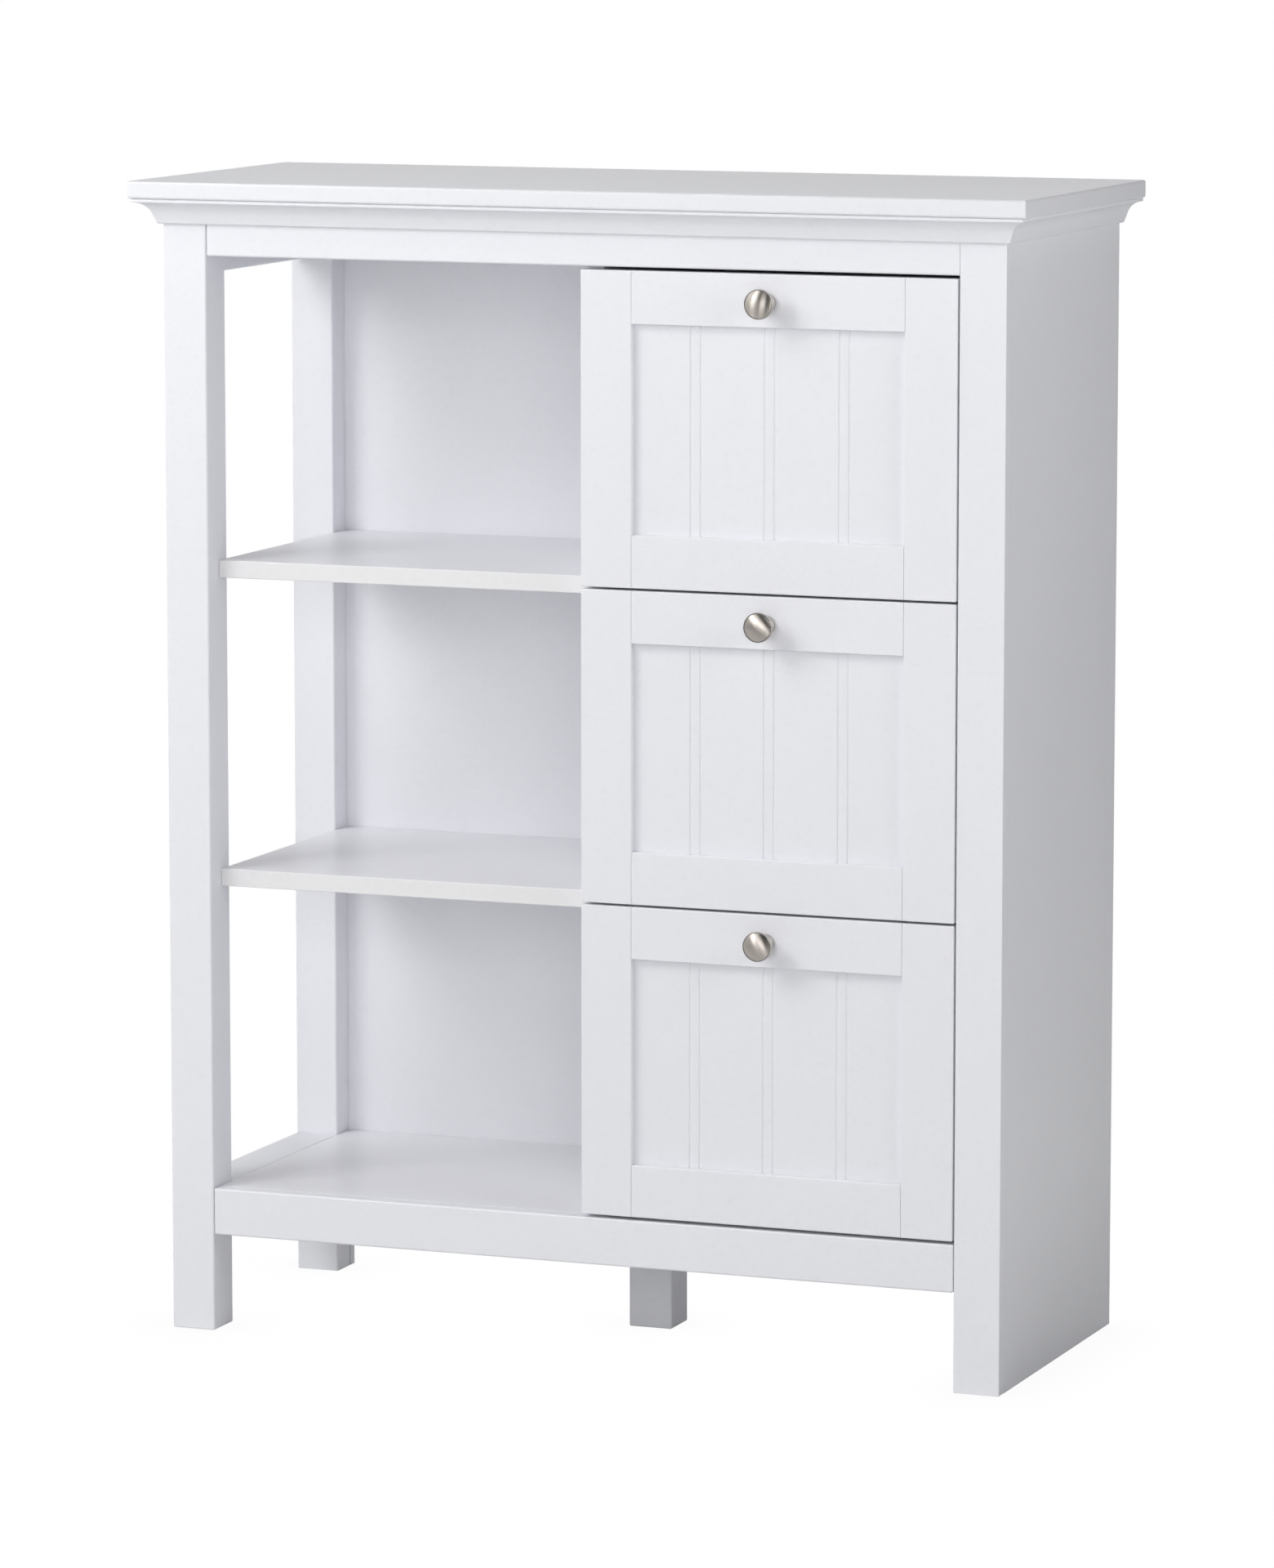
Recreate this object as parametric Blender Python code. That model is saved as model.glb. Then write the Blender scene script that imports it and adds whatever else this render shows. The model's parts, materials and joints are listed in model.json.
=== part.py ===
"""White country-style cabinet with three open shelf bays beside three deep drawers.

Cabinet coordinates, in metres: X = 0 at the middle of the width, Y = 0 at the front face of the
frame and positive towards the rear, Z = 0 on the floor. An empty then carries the whole cabinet so
that the world origin lies under the middle of its bounding box.
"""

import math

import bmesh
import bpy

# Frame
FRAME_WIDTH = 0.900
FRAME_DEPTH = 0.366
FRAME_HEIGHT = 1.168
BOARD = 0.018
POST = 0.047
STILE_WIDTH = 0.048
STILE_THICKNESS = 0.0165
RAIL_THICKNESS = 0.018
TOP_RAIL_HEIGHT = 0.058
BOTTOM_RAIL_HEIGHT = 0.0484
FLOOR_CLEARANCE = 0.101
SIDE_RAIL_INSET = 0.002
SIDE_RAIL_TOP_HEIGHT = 0.076
SIDE_RAIL_TOP_INNER = 0.045
REAR_RAIL_HEIGHT = 0.030

# Top board and cornice
TOP_OVERHANG = 0.0275
CORNICE_HEIGHT = 0.026
CORNICE_TOP_PROJECTION = 0.0245
CORNICE_FILLET = 0.003
CORNICE_FOOT_PROJECTION = 0.0042
COVE_RADIUS = 0.017
COVE_SWEEP = 70
COVE_STEPS = 6

# Inside
DIVIDER_LEFT = 0.005
DIVIDER_SETBACK = 0.020
SHELF_SETBACK = 0.026
CENTRE_FOOT_LEFT = -0.011
CENTRE_FOOT_FRONT = 0.175
BACK_THICKNESS = 0.003
BACK_FACE = 0.3513
BACK_GROOVE_DEPTH = 0.008
BACK_TONGUE = 0.007
BACK_LOW = 0.103

# Drawers
DRAWER_NAMES = ("bottom", "middle", "top")
FRONT_GAP_ENDS = 0.0034
FRONT_GAP_BETWEEN = 0.0024
FRONT_GAP_SIDE = 0.002
FRONT_THICKNESS = 0.019
FRONT_STILE_WIDTH = 0.054
FRONT_RAIL_HEIGHT = 0.053
PANEL_RECESS = 0.008
PANEL_THICKNESS = 0.006
PANEL_TONGUE = 0.0075
PANEL_GROOVE_DEPTH = 0.008
BEAD_PAIR_SPACING = 0.078
BEAD_PAIR_HALF_GAP = 0.00525
BEAD_HALF_WIDTH = 0.00115
BEAD_DEPTH = 0.0014

# Drawer boxes and runners
BOX_CLEARANCE = 0.006
BOX_SIDE_THICKNESS = 0.016
BOX_SIDE_HEIGHT = 0.240
BOX_LIFT = 0.012
BOX_REAR = 0.330
BOX_BACK_THICKNESS = 0.012
BOX_BOTTOM_THICKNESS = 0.004
BOX_BOTTOM_LIFT = 0.010
BOX_BOTTOM_TONGUE = 0.006
RUNNER_HEIGHT = 0.016
RUNNER_LIFT = 0.118
RUNNER_FRONT = 0.040
RUNNER_REAR = 0.335
RUNNER_GROOVE_DEPTH = 0.0085
RUNNER_PLAY = 0.001
BATTEN_HEIGHT = 0.040
BATTEN_CLEARANCE = 0.004

# Knobs
KNOB_DROP = 0.0282
KNOB_PROJECTION = 0.031
KNOB_HEAD_RADIUS = 0.015
KNOB_BASE_RADIUS = 0.0095
KNOB_BASE_THICKNESS = 0.002
KNOB_NECK_RADIUS = 0.0055
KNOB_LIP = 0.0016
KNOB_LIP_SLOPE = 0.0006
KNOB_SHOULDER = 0.0225
KNOB_FACE_RADIUS = 0.0138
KNOB_FACE = 0.0256
KNOB_BORE_RADIUS = 0.0022
KNOB_BORE_DEPTH = 0.014
FLARE_STEPS = 6
SHOULDER_STEPS = 3
DOME_STEPS = 5
SCREW_RADIUS = 0.0019
SCREW_HEAD_RADIUS = 0.004
SCREW_HEAD_HEIGHT = 0.0024
SCREW_HEAD_CHAMFER = 0.0008
SCREW_TIP_PLAY = 0.001
DRILL_OVERRUN = 0.005
TURNED_STEPS = 24
SHARP_ANGLE = 40

# Clearances and edges
GAP = 0.0003
EDGE_ROUND = 0.002
TOP_EDGE_ROUND = 0.0025
STILE_EDGE_ROUND = 0.0015
FRONT_EDGE_ROUND = 0.0012
BOARD_EDGE_ROUND = 0.0008
CORNER_STEPS = 2

# Derived positions
LEFT = -FRAME_WIDTH / 2
RIGHT = FRAME_WIDTH / 2
POST_INNER = LEFT + POST
STILE_INNER = RIGHT - STILE_WIDTH
SIDE_INNER = RIGHT - BOARD
DIVIDER_RIGHT = DIVIDER_LEFT + BOARD
REAR_POST_FRONT = FRAME_DEPTH - POST
BACK_GROOVE_FRONT = BACK_FACE - GAP
BACK_GROOVE_REAR = BACK_FACE + BACK_THICKNESS + GAP
PANEL_REAR_LIMIT = BACK_FACE - 2 * GAP
BOTTOM_LEVEL = FLOOR_CLEARANCE + BOTTOM_RAIL_HEIGHT
TOP_RAIL_LOW = FRAME_HEIGHT - TOP_RAIL_HEIGHT
OPENING_HEIGHT = TOP_RAIL_LOW - BOTTOM_LEVEL
FRONT_HEIGHT = (OPENING_HEIGHT - 2 * FRONT_GAP_ENDS - 2 * FRONT_GAP_BETWEEN) / 3
FRONT_PITCH = FRONT_HEIGHT + FRONT_GAP_BETWEEN
FRONT_WIDTH = STILE_INNER - FRONT_GAP_SIDE - DIVIDER_LEFT
FRONT_CENTRE = DIVIDER_LEFT + FRONT_WIDTH / 2
FRONT_LOWEST = BOTTOM_LEVEL + FRONT_GAP_ENDS
BOX_LEFT = DIVIDER_RIGHT + BOX_CLEARANCE
BOX_RIGHT = STILE_INNER - BOX_CLEARANCE
ORIGIN_SETBACK = (FRAME_DEPTH - KNOB_PROJECTION) / 2


def clear_scene():
    for old in list(bpy.data.objects):
        bpy.data.objects.remove(old, do_unlink=True)


def finish(name, colour, roughness, metallic=0.0):
    """A Principled material."""
    material = bpy.data.materials.new(name)
    material.use_nodes = True
    shader = material.node_tree.nodes["Principled BSDF"]
    shader.inputs["Base Color"].default_value = (*colour, 1.0)
    shader.inputs["Roughness"].default_value = roughness
    shader.inputs["Metallic"].default_value = metallic
    material.diffuse_color = (*colour, 1.0)
    return material


def empty(name, location, parent=None):
    """A guide that carries other objects."""
    guide = bpy.data.objects.new(name, None)
    guide.location = location
    guide.parent = parent
    bpy.context.collection.objects.link(guide)
    return guide


def add_object(name, bm, location, material, parent):
    """Turn a bmesh into a named object on its parent."""
    bmesh.ops.recalc_face_normals(bm, faces=bm.faces)
    mesh = bpy.data.meshes.new(name)
    bm.to_mesh(mesh)
    bm.free()
    mesh.materials.append(material)
    piece = bpy.data.objects.new(name, mesh)
    piece.location = location
    piece.parent = parent
    bpy.context.collection.objects.link(piece)
    return piece


def board(name, x, y, z, material, parent, rounding=0.0):
    """A board between (low, high) pairs on each axis, with optional rounded edges."""
    spans = (x, y, z)
    size = [high - low for low, high in spans]
    centre = [(low + high) / 2 for low, high in spans]
    bm = bmesh.new()
    bmesh.ops.create_cube(bm, size=1.0)
    bmesh.ops.scale(bm, vec=size, verts=bm.verts)
    piece = add_object(name, bm, centre, material, parent)
    if rounding:
        bevel = piece.modifiers.new("rounded_edges", "BEVEL")
        bevel.width = rounding
        bevel.segments = CORNER_STEPS
    return piece


def rounded(corners):
    """An outline whose (u, v, radius) corners become arcs; a corner (u, v) stays sharp."""
    points = []
    for i, corner in enumerate(corners):
        u, v = corner[:2]
        radius = corner[2] if len(corner) == 3 else 0.0
        if not radius:
            points.append((u, v))
            continue
        before = corners[i - 1]
        after = corners[(i + 1) % len(corners)]
        start = unit(before[0] - u, before[1] - v)
        end = unit(after[0] - u, after[1] - v)
        centre = (u + radius * (start[0] + end[0]), v + radius * (start[1] + end[1]))
        for step in range(CORNER_STEPS + 1):
            angle = math.pi / 2 * step / CORNER_STEPS
            a = radius * math.sin(angle)
            b = radius * math.cos(angle)
            points.append((centre[0] - a * start[0] - b * end[0], centre[1] - a * start[1] - b * end[1]))
    return points


def unit(u, v):
    length = math.hypot(u, v)
    return (u / length, v / length)


def mirrored(outline):
    return [(-corner[0], *corner[1:]) for corner in outline]


def bar(name, outline, axis, low, high, offset, material, parent):
    """An outline extruded along an axis from low to high; offset places the outline's zero point."""
    order = {"X": (2, 0, 1), "Y": (0, 2, 1), "Z": (0, 1, 2)}[axis]
    bm = bmesh.new()
    ring = []
    for u, v in rounded(outline):
        local = (u, v, 0.0)
        ring.append(bm.verts.new([local[i] for i in order]))
    start = bm.faces.new(ring)
    extruded = bmesh.ops.extrude_face_region(bm, geom=[start])["geom"]
    moved = [item for item in extruded if isinstance(item, bmesh.types.BMVert)]
    length = (0.0, 0.0, high - low)
    bmesh.ops.translate(bm, vec=[length[i] for i in order], verts=moved)
    place = (offset[0], offset[1], low)
    return add_object(name, bm, [place[i] for i in order], material, parent)


def turned(name, profile, location, material, parent):
    """A (radius, distance) profile turned about the Y axis, with distance measured towards -Y."""
    bm = bmesh.new()
    verts = [bm.verts.new((radius, -distance, 0.0)) for radius, distance in profile]
    edges = [bm.edges.new(pair) for pair in zip(verts, verts[1:])]
    bmesh.ops.spin(
        bm,
        geom=verts + edges,
        cent=(0.0, 0.0, 0.0),
        axis=(0.0, 1.0, 0.0),
        angle=2 * math.pi,
        steps=TURNED_STEPS,
        use_merge=True,
    )
    bmesh.ops.remove_doubles(bm, verts=bm.verts, dist=1e-6)
    piece = add_object(name, bm, location, material, parent)
    piece.data.shade_smooth()
    piece.data.set_sharp_from_angle(angle=math.radians(SHARP_ANGLE))
    return piece


def cut(piece, cutter, name):
    """Cut a hidden solid out of a piece."""
    boolean = piece.modifiers.new(name, "BOOLEAN")
    boolean.operation = "DIFFERENCE"
    boolean.solver = "EXACT"
    boolean.object = cutter


def hide_cutter(cutter):
    cutter.hide_render = True
    cutter.display_type = "WIRE"
    return cutter


def make_materials():
    return {
        "lacquer": finish("white_lacquer", (0.84, 0.85, 0.87), 0.38),
        "front": finish("drawer_front_lacquer", (0.85, 0.86, 0.87), 0.36),
        "shelf": finish("shelf_board", (0.84, 0.84, 0.85), 0.32),
        "back": finish("back_board", (0.82, 0.83, 0.86), 0.50),
        "box": finish("drawer_box_board", (0.80, 0.80, 0.79), 0.48),
        "runner": finish("runner_beech", (0.62, 0.44, 0.27), 0.55),
        "knob": finish("knob_nickel", (0.60, 0.59, 0.57), 0.34, 1.0),
        "screw": finish("screw_zinc", (0.66, 0.66, 0.68), 0.40, 1.0),
    }


def make_posts(materials, cabinet):
    """The two square posts of the open left side; the rear one is grooved for the back board."""
    top = FRAME_HEIGHT - GAP
    white = materials["lacquer"]
    board("post_front_left", (LEFT, POST_INNER), (0.0, POST), (0.0, top), white, cabinet, EDGE_ROUND)
    groove_bottom = POST - BACK_GROOVE_DEPTH
    groove_front = BACK_GROOVE_FRONT - REAR_POST_FRONT
    groove_rear = BACK_GROOVE_REAR - REAR_POST_FRONT
    outline = [
        (0.0, 0.0, EDGE_ROUND),
        (POST, 0.0, EDGE_ROUND),
        (POST, groove_front),
        (groove_bottom, groove_front),
        (groove_bottom, groove_rear),
        (POST, groove_rear),
        (POST, POST, EDGE_ROUND),
        (0.0, POST, EDGE_ROUND),
    ]
    bar("post_rear_left", outline, "Z", 0.0, top, (LEFT, REAR_POST_FRONT), white, cabinet)


def make_right_side(materials, cabinet):
    """The front stile and the full side panel behind it, grooved for the back board."""
    top = FRAME_HEIGHT - GAP
    white = materials["lacquer"]
    stile_y = (0.0, STILE_THICKNESS)
    board("stile_front_right", (STILE_INNER, RIGHT), stile_y, (0.0, top), white, cabinet, STILE_EDGE_ROUND)
    front = STILE_THICKNESS + GAP
    outline = [
        (0.0, front),
        (BOARD, front, BOARD_EDGE_ROUND),
        (BOARD, FRAME_DEPTH, BOARD_EDGE_ROUND),
        (0.0, FRAME_DEPTH),
        (0.0, BACK_GROOVE_REAR),
        (BACK_GROOVE_DEPTH, BACK_GROOVE_REAR),
        (BACK_GROOVE_DEPTH, BACK_GROOVE_FRONT),
        (0.0, BACK_GROOVE_FRONT),
    ]
    bar("side_panel_right", outline, "Z", 0.0, top, (SIDE_INNER, 0.0), white, cabinet)


def make_rails(materials, cabinet):
    """Front, side and rear rails between the uprights."""
    white = materials["lacquer"]
    top = FRAME_HEIGHT - GAP
    front_x = (POST_INNER + GAP, STILE_INNER - GAP)
    front_y = (0.0, RAIL_THICKNESS)
    bottom_z = (FLOOR_CLEARANCE, BOTTOM_LEVEL)
    board("front_top_rail", front_x, front_y, (TOP_RAIL_LOW, top), white, cabinet, EDGE_ROUND)
    board("front_bottom_rail", front_x, front_y, bottom_z, white, cabinet, EDGE_ROUND)
    side_y = (POST + GAP, REAR_POST_FRONT - GAP)
    outer = LEFT + SIDE_RAIL_INSET
    top_z = (FRAME_HEIGHT - SIDE_RAIL_TOP_HEIGHT, top)
    top_x = (outer, LEFT + SIDE_RAIL_TOP_INNER)
    board("side_rail_top_left", top_x, side_y, top_z, white, cabinet, EDGE_ROUND)
    bottom_x = (outer, POST_INNER)
    board("side_rail_bottom_left", bottom_x, side_y, bottom_z, white, cabinet, FRONT_EDGE_ROUND)
    rear_x = (POST_INNER + GAP, SIDE_INNER - GAP)
    rear_y = (PANEL_REAR_LIMIT - BOARD, PANEL_REAR_LIMIT)
    rear_z = (FLOOR_CLEARANCE, FLOOR_CLEARANCE + REAR_RAIL_HEIGHT)
    board("rear_bottom_rail", rear_x, rear_y, rear_z, white, cabinet)


def make_top(materials, cabinet):
    """The overhanging top board."""
    x = (LEFT - TOP_OVERHANG, RIGHT + TOP_OVERHANG)
    y = (-TOP_OVERHANG, FRAME_DEPTH)
    z = (FRAME_HEIGHT, FRAME_HEIGHT + BOARD)
    board("top_board", x, y, z, materials["lacquer"], cabinet, TOP_EDGE_ROUND)


def cornice_profile():
    """(projection, height) points of the cove moulding, from the frame's face outwards."""
    low = FRAME_HEIGHT - CORNICE_HEIGHT
    high = FRAME_HEIGHT - GAP
    centre_z = FRAME_HEIGHT - CORNICE_FILLET - COVE_RADIUS
    points = [(GAP, high), (CORNICE_TOP_PROJECTION, high)]
    for step in range(COVE_STEPS + 1):
        angle = math.pi / 2 + math.radians(COVE_SWEEP) * step / COVE_STEPS
        projection = CORNICE_TOP_PROJECTION + COVE_RADIUS * math.cos(angle)
        points.append((projection, centre_z + COVE_RADIUS * math.sin(angle)))
    points.append((CORNICE_FOOT_PROJECTION, low))
    points.append((GAP, low))
    return points


def moulding(name, ends, material, parent):
    """A moulding lofted between two ends, each a function of projection and height."""
    bm = bmesh.new()
    rings = []
    for end in ends:
        rings.append([bm.verts.new(end(*point)) for point in cornice_profile()])
    first, last = rings
    count = len(first)
    for i in range(count):
        j = (i + 1) % count
        bm.faces.new((first[i], first[j], last[j], last[i]))
    bm.faces.new(first)
    bm.faces.new(last)
    add_object(name, bm, (0.0, 0.0, 0.0), material, parent)


def make_cornice(materials, cabinet):
    """Three cove mouldings under the top board, mitred at the front corners."""
    white = materials["lacquer"]
    mitre = GAP / math.sqrt(2)
    front_ends = (
        lambda p, z: (LEFT - p + mitre, -p, z),
        lambda p, z: (RIGHT + p - mitre, -p, z),
    )
    left_ends = (
        lambda p, z: (LEFT - p, -p + mitre, z),
        lambda p, z: (LEFT - p, FRAME_DEPTH, z),
    )
    right_ends = (
        lambda p, z: (RIGHT + p, -p + mitre, z),
        lambda p, z: (RIGHT + p, FRAME_DEPTH, z),
    )
    moulding("cornice_front", front_ends, white, cabinet)
    moulding("cornice_left", left_ends, white, cabinet)
    moulding("cornice_right", right_ends, white, cabinet)


def make_inside(materials, cabinet):
    """Bottom, divider, shelves, back board and the foot under the middle of the bottom."""
    white = materials["lacquer"]
    inner_y = RAIL_THICKNESS + GAP
    bottom_low = BOTTOM_LEVEL - BOARD
    bottom_x = (POST_INNER + GAP, SIDE_INNER - GAP)
    bottom_y = (inner_y, PANEL_REAR_LIMIT)
    bottom_z = (bottom_low, BOTTOM_LEVEL)
    board("bottom_panel", bottom_x, bottom_y, bottom_z, white, cabinet, BOARD_EDGE_ROUND)
    divider_y = (DIVIDER_SETBACK, PANEL_REAR_LIMIT)
    divider_z = (BOTTOM_LEVEL + GAP, FRAME_HEIGHT - GAP)
    divider_x = (DIVIDER_LEFT, DIVIDER_RIGHT)
    board("divider_panel", divider_x, divider_y, divider_z, white, cabinet, BOARD_EDGE_ROUND)
    foot_x = (CENTRE_FOOT_LEFT, CENTRE_FOOT_LEFT + POST)
    foot_y = (CENTRE_FOOT_FRONT, CENTRE_FOOT_FRONT + POST)
    board("centre_foot", foot_x, foot_y, (0.0, bottom_low - GAP), white, cabinet, EDGE_ROUND)
    shelf_x = (POST_INNER + GAP, DIVIDER_LEFT - GAP)
    shelf_y = (SHELF_SETBACK, PANEL_REAR_LIMIT)
    for level, name in ((1, "shelf_lower"), (2, "shelf_upper")):
        centre = FRONT_LOWEST + level * FRONT_PITCH - FRONT_GAP_BETWEEN / 2
        shelf_z = (centre - BOARD / 2, centre + BOARD / 2)
        board(name, shelf_x, shelf_y, shelf_z, materials["shelf"], cabinet, BOARD_EDGE_ROUND)
    back_x = (POST_INNER - BACK_TONGUE, SIDE_INNER + BACK_TONGUE)
    back_y = (BACK_FACE, BACK_FACE + BACK_THICKNESS)
    board("back_panel", back_x, back_y, (BACK_LOW, FRAME_HEIGHT - GAP), materials["back"], cabinet)


def make_runners(name, runner_z, materials, cabinet):
    """Hardwood runners: a strip on the divider and a rebated batten on the side panel."""
    wood = materials["runner"]
    reach = RUNNER_GROOVE_DEPTH - RUNNER_PLAY
    half = RUNNER_HEIGHT / 2
    left_x = (DIVIDER_RIGHT + GAP, BOX_LEFT + reach)
    runner_y = (RUNNER_FRONT, RUNNER_REAR)
    runner_span = (runner_z - half, runner_z + half)
    board(f"runner_{name}_left", left_x, runner_y, runner_span, wood, cabinet)
    batten = BATTEN_HEIGHT / 2
    face = BATTEN_CLEARANCE
    mount = SIDE_INNER - GAP - BOX_RIGHT
    outline = [
        (-reach, -half),
        (face, -half),
        (face, -batten),
        (mount, -batten),
        (mount, batten),
        (face, batten),
        (face, half),
        (-reach, half),
    ]
    place = (BOX_RIGHT, runner_z)
    bar(f"runner_{name}_right", outline, "Y", RUNNER_FRONT, RUNNER_REAR, place, wood, cabinet)


def front_stile_outline():
    """Left stile seen from above: outer edge at u = 0, front face at v = 0, groove in the inner edge."""
    inner = FRONT_STILE_WIDTH
    groove = inner - PANEL_GROOVE_DEPTH
    groove_front = PANEL_RECESS - GAP
    groove_rear = PANEL_RECESS + PANEL_THICKNESS + GAP
    return [
        (0.0, 0.0, FRONT_EDGE_ROUND),
        (inner, 0.0, EDGE_ROUND),
        (inner, groove_front),
        (groove, groove_front),
        (groove, groove_rear),
        (inner, groove_rear),
        (inner, FRONT_THICKNESS),
        (0.0, FRONT_THICKNESS),
    ]


def front_rail_outline():
    """Bottom rail seen from its end: front face at u = 0, lower edge at v = 0, groove in its top."""
    inner = FRONT_RAIL_HEIGHT
    groove = inner - PANEL_GROOVE_DEPTH
    groove_front = PANEL_RECESS - GAP
    groove_rear = PANEL_RECESS + PANEL_THICKNESS + GAP
    return [
        (0.0, 0.0, FRONT_EDGE_ROUND),
        (FRONT_THICKNESS, 0.0),
        (FRONT_THICKNESS, inner),
        (groove_rear, inner),
        (groove_rear, groove),
        (groove_front, groove),
        (groove_front, inner),
        (0.0, inner, EDGE_ROUND),
    ]


def panel_outline(half_width):
    """Panel seen from above, centred on u = 0, with three pairs of V grooves in its front face."""
    points = [(-half_width, PANEL_RECESS + PANEL_THICKNESS), (-half_width, PANEL_RECESS)]
    for pair in (-1, 0, 1):
        for side in (-1, 1):
            centre = pair * BEAD_PAIR_SPACING + side * BEAD_PAIR_HALF_GAP
            points.append((centre - BEAD_HALF_WIDTH, PANEL_RECESS))
            points.append((centre, PANEL_RECESS + BEAD_DEPTH))
            points.append((centre + BEAD_HALF_WIDTH, PANEL_RECESS))
    points.append((half_width, PANEL_RECESS))
    points.append((half_width, PANEL_RECESS + PANEL_THICKNESS))
    return points


def make_front(name, low, materials, drawer):
    """Framed drawer front: two stiles, two rails and a grooved panel."""
    white = materials["front"]
    high = low + FRONT_HEIGHT
    left = DIVIDER_LEFT
    right = left + FRONT_WIDTH
    stile = front_stile_outline()
    bar(f"drawer_{name}_stile_left", stile, "Z", low, high, (left, 0.0), white, drawer)
    bar(f"drawer_{name}_stile_right", mirrored(stile), "Z", low, high, (right, 0.0), white, drawer)
    rail_low = left + FRONT_STILE_WIDTH + GAP
    rail_high = right - FRONT_STILE_WIDTH - GAP
    rail = front_rail_outline()
    flipped = [(corner[0], -corner[1], *corner[2:]) for corner in rail]
    bar(f"drawer_{name}_rail_bottom", rail, "X", rail_low, rail_high, (0.0, low), white, drawer)
    top_rail = bar(
        f"drawer_{name}_rail_top", flipped, "X", rail_low, rail_high, (0.0, high), white, drawer
    )
    half_panel = FRONT_WIDTH / 2 - FRONT_STILE_WIDTH + PANEL_TONGUE
    panel_low = low + FRONT_RAIL_HEIGHT - PANEL_TONGUE
    panel_high = high - FRONT_RAIL_HEIGHT + PANEL_TONGUE
    panel = panel_outline(half_panel)
    place = (FRONT_CENTRE, 0.0)
    bar(f"drawer_{name}_panel", panel, "Z", panel_low, panel_high, place, white, drawer)
    return top_rail


def box_side_outline():
    """Left box side seen from the front: runner groove in its outer face, bottom groove inside."""
    groove_top = RUNNER_LIFT + RUNNER_HEIGHT / 2 + GAP
    groove_low = RUNNER_LIFT - RUNNER_HEIGHT / 2 - RUNNER_PLAY
    slot_low = BOX_BOTTOM_LIFT - GAP
    slot_high = BOX_BOTTOM_LIFT + BOX_BOTTOM_THICKNESS + GAP
    slot_bottom = BOX_SIDE_THICKNESS - BOX_BOTTOM_TONGUE - GAP
    return [
        (0.0, 0.0),
        (BOX_SIDE_THICKNESS, 0.0),
        (BOX_SIDE_THICKNESS, slot_low),
        (slot_bottom, slot_low),
        (slot_bottom, slot_high),
        (BOX_SIDE_THICKNESS, slot_high),
        (BOX_SIDE_THICKNESS, BOX_SIDE_HEIGHT, STILE_EDGE_ROUND),
        (0.0, BOX_SIDE_HEIGHT, STILE_EDGE_ROUND),
        (0.0, groove_top),
        (RUNNER_GROOVE_DEPTH, groove_top),
        (RUNNER_GROOVE_DEPTH, groove_low),
        (0.0, groove_low),
    ]


def make_box(name, low, materials, drawer):
    """Drawer box behind the front: grooved sides, a back above the bottom, and the bottom board."""
    white = materials["box"]
    side_front = FRONT_THICKNESS + GAP
    side = box_side_outline()
    place = (BOX_LEFT, low)
    bar(f"drawer_{name}_side_left", side, "Y", side_front, BOX_REAR, place, white, drawer)
    place = (BOX_RIGHT, low)
    bar(f"drawer_{name}_side_right", mirrored(side), "Y", side_front, BOX_REAR, place, white, drawer)
    inner_left = BOX_LEFT + BOX_SIDE_THICKNESS
    inner_right = BOX_RIGHT - BOX_SIDE_THICKNESS
    bottom_low = low + BOX_BOTTOM_LIFT
    bottom_high = bottom_low + BOX_BOTTOM_THICKNESS
    back_x = (inner_left + GAP, inner_right - GAP)
    back_y = (BOX_REAR - BOX_BACK_THICKNESS, BOX_REAR)
    back_z = (bottom_high + GAP, low + BOX_SIDE_HEIGHT)
    board(f"drawer_{name}_back", back_x, back_y, back_z, white, drawer)
    bottom_x = (inner_left - BOX_BOTTOM_TONGUE, inner_right + BOX_BOTTOM_TONGUE)
    bottom_y = (side_front, BOX_REAR)
    board(f"drawer_{name}_bottom", bottom_x, bottom_y, (bottom_low, bottom_high), white, drawer)


def knob_profile():
    """Mushroom knob from the end of its blind bore, round the base and head, to its domed tip."""
    points = [
        (0.0, KNOB_BORE_DEPTH),
        (KNOB_BORE_RADIUS, KNOB_BORE_DEPTH),
        (KNOB_BORE_RADIUS, GAP),
        (KNOB_BASE_RADIUS, GAP),
        (KNOB_BASE_RADIUS, KNOB_BASE_THICKNESS),
    ]
    flare = KNOB_SHOULDER - KNOB_LIP - KNOB_BASE_THICKNESS
    for step in range(1, FLARE_STEPS):
        t = step / FLARE_STEPS
        neck = KNOB_NECK_RADIUS + (KNOB_BASE_RADIUS - KNOB_NECK_RADIUS) * (1 - t) ** 3
        head = (KNOB_HEAD_RADIUS - KNOB_NECK_RADIUS) * t**6
        points.append((neck + head, KNOB_BASE_THICKNESS + flare * t))
    points.append((KNOB_HEAD_RADIUS - KNOB_LIP_SLOPE, KNOB_SHOULDER - KNOB_LIP))
    for step in range(SHOULDER_STEPS):
        angle = math.pi / 2 * step / SHOULDER_STEPS
        radius = KNOB_FACE_RADIUS + (KNOB_HEAD_RADIUS - KNOB_FACE_RADIUS) * math.cos(angle)
        points.append((radius, KNOB_SHOULDER + (KNOB_FACE - KNOB_SHOULDER) * math.sin(angle)))
    rise = KNOB_PROJECTION - KNOB_FACE
    curve = (KNOB_FACE_RADIUS**2 + rise**2) / (2 * rise)
    opening = math.asin(KNOB_FACE_RADIUS / curve)
    for step in range(DOME_STEPS):
        angle = opening * (1 - step / DOME_STEPS)
        points.append((curve * math.sin(angle), KNOB_PROJECTION - curve * (1 - math.cos(angle))))
    points.append((0.0, KNOB_PROJECTION))
    return points


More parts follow.
